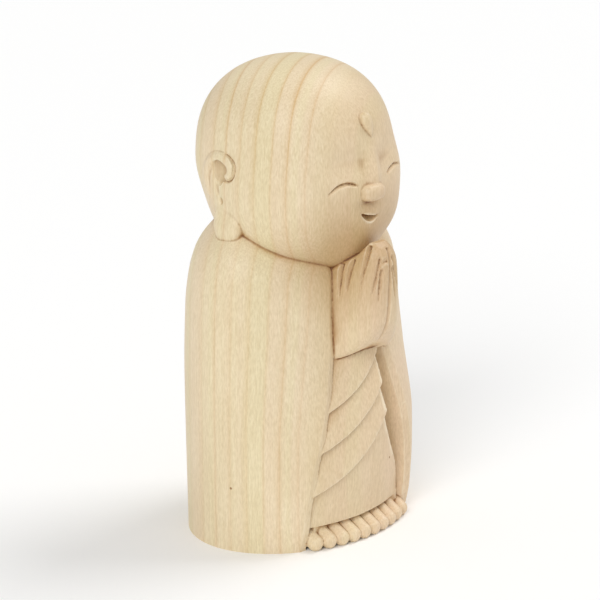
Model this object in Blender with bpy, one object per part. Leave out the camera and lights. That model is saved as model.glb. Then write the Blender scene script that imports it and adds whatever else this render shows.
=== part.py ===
"""A small praying Jizo figure carved from one block of pale wood.

The figure stands on its flat underside and looks along -Y. It is 200 mm tall, and every
proportion below is a count of units, of which the height holds 200. A point is given as
(across, forward, up): across is +X, forward is -Y and up is +Z, from the middle of the base.
"""

import math

import bmesh
import bpy
from mathutils import Vector
from mathutils.bvhtree import BVHTree

HEIGHT = 0.200
UNITS_IN_HEIGHT = 200
UNIT = HEIGHT / UNITS_IN_HEIGHT

SHARP_ANGLE = math.radians(35)

WOOD_COLOUR = (0.78, 0.64, 0.42, 1.0)
WOOD_ROUGHNESS = 0.5

# Cloak: an upright ellipse whose size changes with height. Each pair is (height, size).
CLOAK_CENTRE_FORWARD = -2.5
CLOAK_HALF_WIDTH = (
    (0, 53.2), (70, 54.0), (99, 53.1), (112, 51.4), (121, 48.7),
    (126, 45.8), (130.5, 41.7), (134, 37.3), (137, 30.0), (139, 16.0),
)
CLOAK_FRONT_DEPTH = (
    (0, 41.0), (12, 44.2), (30, 45.4), (45, 44.8), (63, 41.6), (76, 38.4),
    (92, 34.6), (106, 32.8), (115, 31.0), (121, 27.0), (127, 20.5), (134, 13.0), (139, 8.0),
)
CLOAK_FRONT_POWER = ((0, 2.0), (45, 2.0), (76, 1.85), (139, 1.85))
CLOAK_BACK_SHARE = 40.5 / 52.6
# The cloak starts below the ground, and a block then cuts its underside flat.
BELOW_GROUND = 4.0
GROUND_BLOCK = ((0, 0, -30), (80, 80, 30))
CLOAK_COUNTS = (56, 18)
ROW_CROWDING = 1.4
OPENING_HALF_WIDTH = (
    (0, 30.2), (13.5, 30.2), (31.5, 28.3), (48, 24.5), (64, 19.6),
    (76, 16.2), (88, 13.4), (104.5, 11.8), (117, 10.4), (139, 10.2),
)
LIP_WIDTH = 2.9
LIP_SLOPE = 0.6
# Near the top, the opening and its lips take no more than these shares of the half width.
MOST_OPENING_SHARE = 0.62
MOST_LIP_SHARE = 0.8
CHANNEL_FLOOR_FORWARD = 21.0
LEAST_CHANNEL_DEPTH = 2.0
# Where the floor, the wall and the lip end along each half of the outline.
FLOOR_END, WALL_END, LIP_END = 0.06, 0.12, 0.16
# The channel's wall stands steep beside the robe and flares out on the far side.
NEAR_WALL_LEAN = 3.0
FAR_WALL_LEAN = ((0, 7.0), (45, 7.0), (76, 4.5), (139, 4.0))
FAR_WALL_FLARE = 1.8

# Robe: a bowed panel whose layers lap each other, each with its lower edge proud.
ROBE_FRONT = ((0, 36.0), (9, 36.2), (30, 38.0), (50, 37.6), (65, 36.6), (82, 34.5), (95, 33.0))
ROBE_FAR_BOW = 0.0085
ROBE_BELOW_LIP = 2.8
ROBE_FAR_SIDE = (
    (0, 28.0), (9, 27.3), (22, 23.6), (39, 15.6), (53, 10.8), (65, 8.4), (75, 7.2), (80, 6.5), (95, 4.0),
)
ROBE_NEAR_TUCK = 1.0
ROBE_BACK_FORWARD = 14.0
ROBE_COUNTS = (12, 2)
HEM_HEIGHT = 9.2
# Each fold edge runs from (height at the near lip) to (height at the far side), bowed between.
FOLD_EDGES = ((23.8, 53.0, 2.3), (42.3, 66.0, 2.3), (58.3, 80.5, 2.3))
FOLD_BOW = (0.66, 0.36)
LEDGE_SHARE = 0.02
ROBE_TOP = (83.5, 95.0)

# Hands: palms together, with the sleeves, as a rounded prow out of the opening. The fingers lean forward.
HANDS_CENTRE = ((84, 20), (104, 20), (112, 24), (118, 30), (121, 35), (124, 38.5), (129, 41))
HANDS_COUNTS = (32, 14)
HANDS_POWER = 2.5
HANDS_BACK_SHARE = 0.36
# The sleeve on the far side of the opening is wider by this share.
HANDS_FAR_SHARE = 1.28
HANDS_BOTTOM = 84.0
HANDS_PROFILE = (
    (84, 37.5), (86, 40.6), (88.7, 43.3), (92, 45.3), (96.3, 46.9), (102, 47.5), (110, 47.7), (120, 47.5),
    (124, 46.8), (127, 45.2), (129, 43.0),
)
HANDS_HALF_WIDTH = (
    (84, 16.2), (90, 15.0), (96, 13.9), (106, 12.8), (116, 10.9), (122, 8.2), (126, 6.0), (129, 4.0),
)
SLEEVE_DROP = 5.0
SLEEVE_DROP_POWER = 1.5
SLEEVE_DROP_TOP = 106.0

# Toes: rounded rods that fill the opening under the hem, each a little wider than its share of the row.
TOE_COUNT = 10
TOE_ROW_CLEARANCE = 0.2
TOE_ROW_HALF = OPENING_HALF_WIDTH[0][1] - TOE_ROW_CLEARANCE
TOE_OVERLAP_SHARE = 1.117
TOE_RADIUS = TOE_ROW_HALF / TOE_COUNT * TOE_OVERLAP_SHARE
TOE_TIP_FORWARD = 41.4
TOE_ROW_BOW = 6.9
# Each toe's ends: how far behind its tip, and how high.
TOE_HEEL = (12.0, 7.5)
TOE_BALL = (3.4, 3.0)
# The block goes on behind the toes, set back from the hem.
HEM_RECESS = 5.0
SOLE_SIDE_INSET = 1.3
SOLE_OVERLAP = 2.8
TOE_COUNTS = (10, 6)

# Head: a crown and a chubby lower face, each an ellipsoid, blended.
CROWN_CENTRE = Vector((0, -4.7, 163.9))
CROWN_RADII = (39.1, 39.1, 36.1)
CROWN_POWER = 2.2
FACE_CENTRE = Vector((0, 0.0, 148.0))
FACE_RADII = (41.6, 37.6, 39.5)
BLEND_POWER = 26
HEAD_COUNTS = (48, 28)
# Columns over the face stand this share of the even spacing apart.
FACE_CLOSENESS = 0.6
# Swellings and hollows on the face: (across, forward, up) place, amount, spread.
FACE_SWELLS = (
    ((27, 26, 134), 1.8, (12, 12, 12)),
    ((-27, 26, 134), 1.8, (12, 12, 12)),
    ((0, 36, 127), 2.6, (10, 10, 9)),
    ((0, 38, 140), 0.8, (8, 8, 7)),
    ((0, 32, 118), 5.2, (17, 12, 9)),
    ((14, 36, 161), -1.6, (9, 9, 6)),
    ((-12, 36, 161), -1.5, (9, 9, 5.5)),
    ((-2.0, 37, 160), -1.1, (5.0, 9, 6.5)),
    ((3.2, 38, 160), 1.6, (4, 9, 6)),
    ((2.2, 38, 154), 1.6, (3.8, 9, 5)),
    ((-1.0, 38, 144.3), -1.8, (5, 8, 2.2)),
    ((28, 28, 157), 1.4, (9, 9, 11)),
    ((-28, 28, 157), 1.4, (9, 9, 11)),
    ((35, -24, 154), 1.8, (11, 11, 13)),
    ((-35, -24, 154), 1.8, (11, 11, 13)),
)
NOSE_CENTRE = (0.9, 36.9, 149.0)
NOSE_RADII = (6.3, 4.6, 3.7)
NOSE_POWER = 2.7
NOSE_COUNTS = (16, 10)
# The drop on the forehead, as a strand from the top down: (across, up) ends, and radii along it.
URNA_LINE = ((1.4, 180.4), (2.4, 176.4), (4.6, 170.6))
URNA_RADII = (2.6, 3.8, 0.4)
URNA_PROUD = 0.2
URNA_COUNTS = (9, 7)
RIGHT_EYE_LINE = ((-5.0, 152.0), (-8.6, 153.8), (-12.0, 154.4), (-16.0, 153.6), (-20.0, 151.0), (-23.2, 147.4))
LEFT_EYE_LINE = ((12.0, 154.0), (15.0, 155.2), (18.5, 156.1), (22.0, 156.6), (26.4, 155.5), (30.0, 152.2))
MOUTH_LINE = ((-6.2, 141.6), (-2.6, 139.9), (0.6, 139.0), (3.2, 138.7), (6.8, 139.2))
# Gaps between the fingers: three seen from the side as (forward, up), two from the front as (across, up).
FINGER_LINES = (
    ((30.9, 120.0), (31.9, 103.5)),
    ((35.8, 122.5), (34.8, 105.6)),
    ((41.5, 128.4), (41.9, 120.8), (40.0, 104.6)),
)
FRONT_FINGER_LINES = (
    ((3.3, 124.5), (5.8, 114.5), (8.4, 102.5)),
    ((3.1, 120.0), (4.4, 110.5), (5.2, 101.0)),
)
PALM_LINE = ((1.2, 127.0), (0.6, 115.0), (0.2, 105.0), (0, 96.0), (0, 90.0), (0, 85.0))
TIP_LINE = ((-3.2, 120.6), (-1.6, 121.4), (0.2, 121.3))
# Gouge cuts: the widths above and below the line, the depth, the shares of its length that taper,
# and how hollow the cut's sides are. Beside an upright line the first width is on the left hand's side.
EYE_CUT = (0.5, 1.5, 2.1, (0.22, 0.5), 1.0)
MOUTH_CUT = (0.3, 2.6, 4.0, (0.5, 0.5), 0.6)
FINGER_CUT = (1.5, 1.5, 2.0, (0, 0.8), 1.4)
FRONT_FINGER_CUT = (1.3, 1.3, 1.9, (0.1, 0.8), 1.4)
PALM_CUT = (2.0, 0.4, 2.2, (0, 0.35), 1.0)
TIP_CUT = (2.6, 0.2, 0.9, (0.1, 0.1), 1.0)
EAR_CREASE_CUT = (0.7, 0.7, 1.8, (0.5, 0.1), 1.0)
CURVED_CUT_COUNT = 10
STRAIGHT_CUT_COUNT = 6
CUT_FLANK_COUNT = 1
# A cutter stands this far out of the surface, and its tapered ends clear it by a little.
CUTTER_LIFT = 0.5
END_CLEARANCE = 0.12
LEAST_WIDTH = 0.02
SIGHT_DISTANCE = 90

# Ears, from the side: (forward, up) along the rim and the channel.
EAR_RIM = (
    (-5.0, 156.0), (-2.8, 156.2), (-1.8, 158.2), (-2.6, 160.6), (-5.0, 162.2), (-8.4, 162.7),
    (-12.0, 161.9), (-15.2, 159.4), (-17.0, 155.6), (-17.2, 151.2), (-16.0, 146.6), (-14.0, 142.5),
)
EAR_RIM_RADII = (1.9, 2.6, 4.6)
EAR_RIM_PROUD = 1.5
EAR_RIM_COUNTS = (8, 20)
EAR_CREASE = (
    (-10.6, 164.4), (-8.0, 165.0), (-4.6, 164.5), (-1.8, 162.8), (-0.1, 160.7),
    (0.3, 158.2), (-0.3, 155.8), (-2.0, 154.2), (-4.2, 153.7), (-5.8, 154.6),
)
# The bowl and the pit: the place seen from the side, and the radii across, forward and up.
EAR_BOWL_SPOT = (-8.6, 156.6)
EAR_BOWL_RADII = (1.7, 4.6, 5.4)
EAR_BOWL_COUNTS = (12, 8)
EAR_PIT_SPOT = (-7.6, 144.9)
EAR_PIT_RADII = (1.8, 1.4, 1.8)
EAR_PIT_COUNTS = (6, 5)
EAR_CHANNEL = ((-9.6, 155.0), (-10.0, 150.6), (-9.0, 147.6), (-7.6, 144.6))
EAR_CHANNEL_RADII = (2.4, 2.0, 1.5)
EAR_CHANNEL_PROUD = 1.0
EAR_CHANNEL_COUNTS = (8, 8)
# Rows of (up, back, front, out) for the lobe.
EAR_LOBE = (
    (127.8, -6.0, -2.6, 41.4), (129.0, -8.8, 0.2, 42.4), (131.5, -10.8, 1.9, 43.0), (134.5, -11.8, 2.6, 42.9),
    (137.5, -12.2, 2.4, 42.1), (140.5, -12.6, 1.5, 41.0), (145, -13.0, -2.0, 39.5),
)
LOBE_THICKNESS = 9.0
LOBE_POWER = 2.8
LOBE_COUNTS = (14, 8)


def place(across, forward, up):
    """A point in metres, from its place in units."""
    return Vector((across, -forward, up)) * UNIT


def along(stops, value):
    """Reads a smooth curve through the (value, result) stops, level where they turn."""
    if value <= stops[0][0]:
        return stops[0][1]
    if value >= stops[-1][0]:
        return stops[-1][1]
    last = len(stops) - 1
    slopes = [(stops[i + 1][1] - stops[i][1]) / (stops[i + 1][0] - stops[i][0]) for i in range(last)]
    tangents = [slopes[0]]
    for before, after in zip(slopes, slopes[1:]):
        tangents.append(2 * before * after / (before + after) if before * after > 0 else 0.0)
    tangents.append(slopes[-1])
    i = next(i for i in range(last) if value <= stops[i + 1][0])
    width = stops[i + 1][0] - stops[i][0]
    t = (value - stops[i][0]) / width
    return (
        stops[i][1] * (1 + 2 * t) * (1 - t) ** 2
        + stops[i + 1][1] * t * t * (3 - 2 * t)
        + tangents[i] * width * t * (1 - t) ** 2
        - tangents[i + 1] * width * t * t * (1 - t)
    )


def eased(t):
    """A share that starts and ends slowly, which sets mesh rows closer at both ends."""
    return 0.5 - 0.5 * math.cos(math.pi * t)


def superellipse(angle, half_width, depth, power):
    """A point of an oval outline, fuller than an ellipse where power is over 2."""
    cosine, sine = math.cos(angle), math.sin(angle)
    across = math.copysign(abs(cosine) ** (2 / power), cosine) * half_width
    return across, math.copysign(abs(sine) ** (2 / power), sine) * depth


def form(name, mesh, helper=True):
    """An object for a bmesh. A helper only shapes the figure, so renders leave it out."""
    bmesh.ops.recalc_face_normals(mesh, faces=mesh.faces)
    if mesh.calc_volume(signed=True) < 0:
        bmesh.ops.reverse_faces(mesh, faces=mesh.faces)
    data = bpy.data.meshes.new(name)
    mesh.to_mesh(data)
    mesh.free()
    data.shade_smooth()
    data.set_sharp_from_angle(angle=SHARP_ANGLE)
    thing = bpy.data.objects.new(name, data)
    bpy.context.scene.collection.objects.link(thing)
    thing.hide_render = helper
    if helper:
        thing.display_type = "WIRE"
    return thing


def lattice(columns, rows, put, around=True):
    """A grid bent into shape: put(s, t) gives each point, and an around grid is closed and capped."""
    mesh = bmesh.new()
    bmesh.ops.create_grid(mesh, x_segments=columns, y_segments=rows, size=0.5)
    for vert in mesh.verts:
        vert.co = put(vert.co.x + 0.5, vert.co.y + 0.5)
    if around:
        bmesh.ops.remove_doubles(mesh, verts=mesh.verts, dist=UNIT * 1e-4)
        bmesh.ops.holes_fill(mesh, edges=mesh.edges, sides=0)
    return mesh


def cloak_front(across, up):
    """How far forward the cloak's face lies there."""
    half_width = along(CLOAK_HALF_WIDTH, up)
    power = along(CLOAK_FRONT_POWER, up)
    share = min(1.0, abs(across) / half_width)
    return CLOAK_CENTRE_FORWARD + along(CLOAK_FRONT_DEPTH, up) * (1 - share**power) ** (1 / power)


def cloak_outline(s, up):
    """The cloak's level section: round the outside from lip to lip, then along the channel."""
    half_width = along(CLOAK_HALF_WIDTH, up)
    power = along(CLOAK_FRONT_POWER, up)
    opening = min(along(OPENING_HALF_WIDTH, up), MOST_OPENING_SHARE * half_width)
    corner = min(opening + LIP_WIDTH, MOST_LIP_SHARE * half_width)
    side = 1 if s < 0.5 else -1
    t = 2 * s if s < 0.5 else 2 * (1 - s)
    floor_forward = min(CHANNEL_FLOOR_FORWARD, cloak_front(opening, up) - LEAST_CHANNEL_DEPTH)
    lean = along(FAR_WALL_LEAN, up) if side > 0 else NEAR_WALL_LEAN
    flare = FAR_WALL_FLARE if side > 0 else 1 / FAR_WALL_FLARE
    lip = (opening, cloak_front(opening, up) - LIP_SLOPE)
    floor = (opening - lean, floor_forward)
    if t <= FLOOR_END:
        across, forward = floor[0] * t / FLOOR_END, floor[1]
    elif t <= WALL_END:
        share = (t - FLOOR_END) / (WALL_END - FLOOR_END)
        across = floor[0] + (lip[0] - floor[0]) * share**flare
        forward = floor[1] + (lip[1] - floor[1]) * share
    else:
        start = math.acos((corner / half_width) ** (power / 2))
        share = (t - LIP_END) / (1 - LIP_END)
        angle = start - max(share, 0.0) * (start + math.pi / 2)
        if angle >= 0:
            across, forward = superellipse(angle, half_width, along(CLOAK_FRONT_DEPTH, up), power)
        else:
            across, forward = superellipse(angle, half_width, CLOAK_BACK_SHARE * half_width, 2)
        forward += CLOAK_CENTRE_FORWARD
    return side * across, forward


def cloak(columns, rows):
    """The cloak, from the underside up to where the head hides it."""
    top = CLOAK_HALF_WIDTH[-1][0]

    def put(s, t):
        up = (top + BELOW_GROUND) * (1 - (1 - t) ** ROW_CROWDING) - BELOW_GROUND
        across, forward = cloak_outline(s, up)
        return place(across, forward, up)

    return lattice(columns, rows, put)


def robe_front(across, up):
    """How far forward the robe lies there: it bows back, and on the near side it meets the lip."""
    middle = along(ROBE_FRONT, up)
    if across > 0:
        return middle - ROBE_FAR_BOW * across * across
    opening = along(OPENING_HALF_WIDTH, up)
    near = cloak_front(opening, up) - LIP_SLOPE - ROBE_BELOW_LIP
    return middle - (middle - near) * (across / opening) ** 2


def fold_edge(near_up, far_up, s):
    """A point of a fold's edge, at share s of the way from the near lip to the far side."""
    near = -(along(OPENING_HALF_WIDTH, near_up) + ROBE_NEAR_TUCK)
    far = along(ROBE_FAR_SIDE, far_up)
    bow_across, bow_up = FOLD_BOW
    start, middle, end = (1 - s) ** 2, 2 * s * (1 - s), s * s
    across = start * near + middle * (near + bow_across * (far - near)) + end * far
    up = start * near_up + middle * (near_up + bow_up * (far_up - near_up)) + end * far_up
    return across, up


def robe(columns, rows_in_layer):
    """The robe's lapped layers, as rows of points that follow each fold's edge, with depth behind."""
    edges = [(HEM_HEIGHT, HEM_HEIGHT, 0.0)] + list(FOLD_EDGES) + [ROBE_TOP + (0.0,)]
    rows = []
    for (near_low, far_low, proud), (near_high, far_high, _) in zip(edges, edges[1:]):
        for row in range(rows_in_layer + 1):
            share = max(row / rows_in_layer, LEDGE_SHARE)
            rows.append((near_low + share * (near_high - near_low),
                         far_low + share * (far_high - far_low),
                         proud * (1 - share)))
    last = len(rows) - 1

    def put(s, t):
        near_up, far_up, proud = rows[round(t * last)]
        across, up = fold_edge(near_up, far_up, s)
        return place(across, robe_front(across, up) + proud, up)

    mesh = lattice(columns, last, put, around=False)
    front = list(mesh.faces)
    behind = bmesh.ops.extrude_face_region(mesh, geom=front, use_keep_orig=True)["geom"]
    for vert in [item for item in behind if isinstance(item, bmesh.types.BMVert)]:
        vert.co.y = -ROBE_BACK_FORWARD * UNIT
    bmesh.ops.remove_doubles(mesh, verts=mesh.verts, dist=UNIT * 1e-3)
    return mesh


def hands(columns, rows):
    """Both hands and sleeves as one prow. Its underside drops towards the sleeves."""
    top = HANDS_PROFILE[-1][0]

    def put(s, t):
        up = HANDS_BOTTOM + (top - HANDS_BOTTOM) * eased(t)
        half_width = along(HANDS_HALF_WIDTH, up)
        centre = along(HANDS_CENTRE, up)
        depth = along(HANDS_PROFILE, up) - centre
        across, forward = superellipse(2 * math.pi * s, half_width, depth, HANDS_POWER)
        if across > 0:
            across *= HANDS_FAR_SHARE
        if forward < 0:
            forward *= HANDS_BACK_SHARE
        share = max(0.0, (SLEEVE_DROP_TOP - up) / (SLEEVE_DROP_TOP - HANDS_BOTTOM))
        drop = SLEEVE_DROP * share * (abs(across) / half_width) ** SLEEVE_DROP_POWER
        return place(across, centre + forward, up - drop)

    return lattice(columns, rows, put)


def toe(number, sides, rings):
    """One toe: a rounded rod, leaning out from under the hem to the ground."""
    across = TOE_ROW_HALF * (2 * (number + 0.5) / TOE_COUNT - 1)
    tip = TOE_TIP_FORWARD - TOE_ROW_BOW * (across / TOE_ROW_HALF) ** 2
    heel = place(across, tip - TOE_HEEL[0], TOE_HEEL[1])
    ball = place(across, tip - TOE_BALL[0], TOE_BALL[1])
    mesh = bmesh.new()
    bmesh.ops.create_uvsphere(mesh, u_segments=sides, v_segments=rings, radius=TOE_RADIUS * UNIT)
    turn = (ball - heel).to_track_quat("Z", "X").to_matrix()
    for vert in mesh.verts:
        low = vert.co.z > 0
        vert.co = turn @ vert.co + (ball if low else heel)
    return mesh


def sole():
    """The solid wood behind the toes and under the robe."""
    half_width = along(ROBE_FAR_SIDE, HEM_HEIGHT) - SOLE_SIDE_INSET
    back = ROBE_BACK_FORWARD - 1
    front = along(ROBE_FRONT, HEM_HEIGHT) - HEM_RECESS
    low, high = -BELOW_GROUND, HEM_HEIGHT + SOLE_OVERLAP
    middle = (0, (back + front) / 2, (low + high) / 2)
    return block(middle, (half_width, (front - back) / 2, (high - low) / 2))


def reach(centre, radii, start, direction):
    """How far along a direction an ellipsoid's far wall lies, from a point inside it."""
    offset = Vector([(start[i] - centre[i]) / radii[i] for i in range(3)])
    scaled = Vector([direction[i] / radii[i] for i in range(3)])
    a, b, c = scaled.dot(scaled), offset.dot(scaled), offset.dot(offset) - 1
    return (-b + math.sqrt(b * b - a * c)) / a


def head_radius(direction):
    """The head's radius along a unit direction (across, forward, up) from the crown's centre."""
    crown = sum(abs(direction[i] / CROWN_RADII[i]) ** CROWN_POWER for i in range(3)) ** (-1 / CROWN_POWER)
    face = reach(FACE_CENTRE, FACE_RADII, CROWN_CENTRE, direction)
    radius = (crown**BLEND_POWER + face**BLEND_POWER) ** (1 / BLEND_POWER)
    point = CROWN_CENTRE + direction * radius
    for centre, amount, spread in FACE_SWELLS:
        gap = sum(((point[i] - centre[i]) / spread[i]) ** 2 for i in range(3))
        radius += amount * math.exp(-gap)
    return radius


def head(columns, rows):
    """The head, with its columns set closer together over the face than over the back."""

    def put(s, t):
        turn = 2 * s - 1
        azimuth = math.pi * (FACE_CLOSENESS * turn + (1 - FACE_CLOSENESS) * turn**3)
        slope = math.pi * (t - 0.5)
        level = math.cos(slope)
        direction = Vector((math.sin(azimuth) * level, math.cos(azimuth) * level, math.sin(slope)))
        return place(*(CROWN_CENTRE + direction * head_radius(direction)))

    return lattice(columns, rows, put)


def bead(centre, radii, counts, power=2):
    """A rounded lump at a place, with its own radii across, forward and up. It is blockier over power 2."""
    mesh = bmesh.new()
    bmesh.ops.create_uvsphere(mesh, u_segments=counts[0], v_segments=counts[1], radius=1.0)
    for vert in mesh.verts:
        vert.co *= sum(abs(value) ** power for value in vert.co) ** (-1 / power)
        vert.co = place(centre[0] + vert.co.x * radii[0],
                        centre[1] - vert.co.y * radii[1],
                        centre[2] + vert.co.z * radii[2])
    return mesh


def block(centre, half_sides):
    """A plain block at a place."""
    mesh = bmesh.new()
    bmesh.ops.create_cube(mesh, size=2.0)
    for vert in mesh.verts:
        vert.co = place(*[centre[i] + vert.co[i] * half_sides[i] for i in range(3)])
    return mesh


def blended_size(sizes, share):
    """A size at a share of the way, from those at the start, in the middle and at the end."""
    start, middle, end = sizes
    return start * (1 - share) ** 2 + 2 * middle * share * (1 - share) + end * share * share


def curve_through(points, t):
    """A point at share t of a smooth curve through the points."""
    last = len(points) - 1
    i = min(int(t * last), last - 1)
    u = t * last - i
    p1, p2 = points[i], points[i + 1]
    p0 = points[i - 1] if i else p1 * 2 - p2
    p3 = points[i + 2] if i + 2 <= last else p2 * 2 - p1
    return 0.5 * (2 * p1 + u * (p2 - p0) + u * u * (2 * p0 - 5 * p1 + 4 * p2 - p3)
                  + u**3 * (3 * p1 - p0 - 3 * p2 + p3))


def roll(points, radii, sides, rings):
    """A rounded strand along a path up the side of the head, with a radius at each end and in the middle."""
    out = Vector((1, 0, 0))
    near = 0.01

    def put(s, t):
        share = eased(t)
        centre = curve_through(points, share)
        run = curve_through(points, min(1.0, share + near)) - curve_through(points, max(0.0, share - near))
        run.normalize()
        aside = run.cross(out).normalized()
        size = blended_size(radii, share) * (math.sin(math.pi * t) ** 0.5 if 0 < t < 1 else 0.0)
        angle = 2 * math.pi * s
        return centre + (aside * math.cos(angle) + aside.cross(run) * math.sin(angle)) * size * UNIT

    return lattice(sides, rings, put)


def seat(surface, spot, view):
    """Where a line of sight meets the carving, with the outward normal there.

    From the front a spot is (across, up). From a side it is (forward, up).
    """
    if view == "front":
        start, aim = place(spot[0], SIGHT_DISTANCE, spot[1]), Vector((0, 1, 0))
    else:
        start, aim = place(view * SIGHT_DISTANCE, spot[0], spot[1]), Vector((-view, 0, 0))
    point, normal, _, _ = surface.ray_cast(start, aim)
    return point, (normal if normal.dot(aim) < 0 else -normal)


def gouge(surface, spots, view, cut, steps):
    """A cut that follows spots on a surface, with its own slope on either side of its line."""
    above, below, depth, tapers, hollow = cut
    path = [Vector((spot[0], spot[1], 0)) for spot in spots]
    seats = []
    for step in range(steps + 1):
        spot = curve_through(path, step / steps)
        seats.append(seat(surface, spot, view))
    corners = 2 * CUT_FLANK_COUNT + 1
    turn_over = 1
    first_side = seats[0][1].cross(seats[steps // 2][0] - seats[0][0])
    if first_side.z + first_side.x / 2 < 0:
        turn_over = -1

    def put(s, t):
        i = round(t * steps)
        point, normal = seats[i]
        run = seats[min(i + 1, steps)][0] - seats[max(i - 1, 0)][0]
        side = normal.cross(run).normalized() * turn_over
        share = 1.0
        if tapers[0]:
            share *= math.sin(min(1.0, t / tapers[0]) * math.pi / 2)
        if tapers[1]:
            share *= math.sin(min(1.0, (1 - t) / tapers[1]) * math.pi / 2)
        corner = round(corners * s) % corners
        rise = min(corner, corners - corner) / CUT_FLANK_COUNT
        width = above if corner <= CUT_FLANK_COUNT else -below
        bottom = END_CLEARANCE * (1 - share) - depth * share
        height = bottom + (CUTTER_LIFT - bottom) * rise
        spread = share * ((1 + CUTTER_LIFT / depth) * rise) ** hollow + LEAST_WIDTH * rise
        return point + (normal * height + side * width * spread) * UNIT

    return lattice(corners, steps, put)


def join(figure, things, operation):
    """Adds live Booleans, one for each helper."""
    for thing in things:
        joint = figure.modifiers.new(thing.name, "BOOLEAN")
        joint.operation = operation
        joint.solver = "MANIFOLD"
        joint.object = thing


def surface_of(thing):
    """The thing's surface, ready for lines of sight."""
    bpy.context.view_layer.update()
    return BVHTree.FromObject(thing, bpy.context.evaluated_depsgraph_get())


def ear(surface, side):
    """The rim and long lobe of one ear. The rim's crest stands proud of the head by the same all along."""
    rim = []
    for number, spot in enumerate(EAR_RIM):
        radius = blended_size(EAR_RIM_RADII, number / (len(EAR_RIM) - 1))
        point, normal = seat(surface, spot, side)
        rim.append(point + normal * (EAR_RIM_PROUD - radius) * UNIT)
    name = "left" if side > 0 else "right"

    def put(s, t):
        up = EAR_LOBE[0][0] + (EAR_LOBE[-1][0] - EAR_LOBE[0][0]) * eased(t)
        back = along([(row[0], row[1]) for row in EAR_LOBE], up)
        front = along([(row[0], row[2]) for row in EAR_LOBE], up)
        out = along([(row[0], row[3]) for row in EAR_LOBE], up)
        across, forward = superellipse(2 * math.pi * s, LOBE_THICKNESS / 2, (front - back) / 2, LOBE_POWER)
        return place(side * (out - LOBE_THICKNESS / 2 + across), (front + back) / 2 + forward, up)

    return [form("ear_rim_" + name, roll(rim, EAR_RIM_RADII, *EAR_RIM_COUNTS)),
            form("ear_lobe_" + name, lattice(*LOBE_COUNTS, put))]


def ear_hollow(surface, side):
    """The crease round the rim, the bowl inside it, and the channel below with its pit."""
    name = "left" if side > 0 else "right"
    path = []
    for forward, up in EAR_CHANNEL:
        point, normal = seat(surface, (forward, up), side)
        path.append(point + normal * EAR_CHANNEL_PROUD * UNIT)
    crease = gouge(surface, EAR_CREASE, side, EAR_CREASE_CUT, CURVED_CUT_COUNT)
    made = [form("ear_channel_" + name, roll(path, EAR_CHANNEL_RADII, *EAR_CHANNEL_COUNTS)),
            form("ear_crease_" + name, crease)]
    for kind, spot, radii, counts in (
        ("ear_bowl_", EAR_BOWL_SPOT, EAR_BOWL_RADII, EAR_BOWL_COUNTS),
        ("ear_pit_", EAR_PIT_SPOT, EAR_PIT_RADII, EAR_PIT_COUNTS),
    ):
        point, _ = seat(surface, spot, side)
        made.append(form(kind + name, bead((point.x / UNIT, -point.y / UNIT, point.z / UNIT), radii, counts)))
    return made


def urna(surface):
    """The drop on the forehead, drawn to a point at its lower end."""
    path = []
    for spot in URNA_LINE:
        point, normal = seat(surface, spot, "front")
        path.append(point + normal * URNA_PROUD * UNIT)
    return form("urna", roll(path, URNA_RADII, *URNA_COUNTS))


def build():
    """The figure: the cloak block, with everything else joined on and then the cuts made."""
    figure = form("jizo_figure", cloak(*CLOAK_COUNTS), helper=False)
    skull = form("head", head(*HEAD_COUNTS))
    prow = form("hands", hands(*HANDS_COUNTS))
    skull_surface = surface_of(skull)
    prow_surface = surface_of(prow)
    added = [form("robe", robe(*ROBE_COUNTS)), form("sole", sole()), prow, skull]
    for number in range(TOE_COUNT):
        added.append(form("toe_%d" % number, toe(number, *TOE_COUNTS)))
    added.append(form("nose", bead(NOSE_CENTRE, NOSE_RADII, NOSE_COUNTS, NOSE_POWER)))
    added.append(urna(skull_surface))
    cuts = [form("ground", block(*GROUND_BLOCK))]
    for side in (-1, 1):
        name = "left" if side > 0 else "right"
        added += ear(skull_surface, side)
        cuts += ear_hollow(skull_surface, side)
        for number, line in enumerate(FINGER_LINES):
            gap = gouge(prow_surface, line, side, FINGER_CUT, STRAIGHT_CUT_COUNT)
            cuts.append(form("finger_%s_%d" % (name, number), gap))
        for number, line in enumerate(FRONT_FINGER_LINES):
            spots = [(side * across, up) for across, up in line]
            gap = gouge(prow_surface, spots, "front", FRONT_FINGER_CUT, STRAIGHT_CUT_COUNT)
            cuts.append(form("finger_%s_front_%d" % (name, number), gap))
    for name, surface, line, cut, count in (
        ("eye_right", skull_surface, RIGHT_EYE_LINE, EYE_CUT, CURVED_CUT_COUNT),
        ("eye_left", skull_surface, LEFT_EYE_LINE, EYE_CUT, CURVED_CUT_COUNT),
        ("mouth", skull_surface, MOUTH_LINE, MOUTH_CUT, CURVED_CUT_COUNT),
        ("palms", prow_surface, PALM_LINE, PALM_CUT, STRAIGHT_CUT_COUNT),
        ("fingertip", prow_surface, TIP_LINE, TIP_CUT, STRAIGHT_CUT_COUNT),
    ):
        cuts.append(form(name, gouge(surface, line, "front", cut, count)))
    join(figure, added, "UNION")
    join(figure, cuts, "DIFFERENCE")
    return figure


for startup_object in list(bpy.data.objects):
    bpy.data.objects.remove(startup_object)
wood = bpy.data.materials.new("carved_wood")
wood.use_nodes = True
shader = wood.node_tree.nodes["Principled BSDF"]
shader.inputs["Base Color"].default_value = WOOD_COLOUR
shader.inputs["Roughness"].default_value = WOOD_ROUGHNESS
jizo = build()
jizo.data.materials.append(wood)
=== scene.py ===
import math

import bmesh
import bpy
import numpy as np
from mathutils import Matrix, Vector
from mathutils.bvhtree import BVHTree


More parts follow.
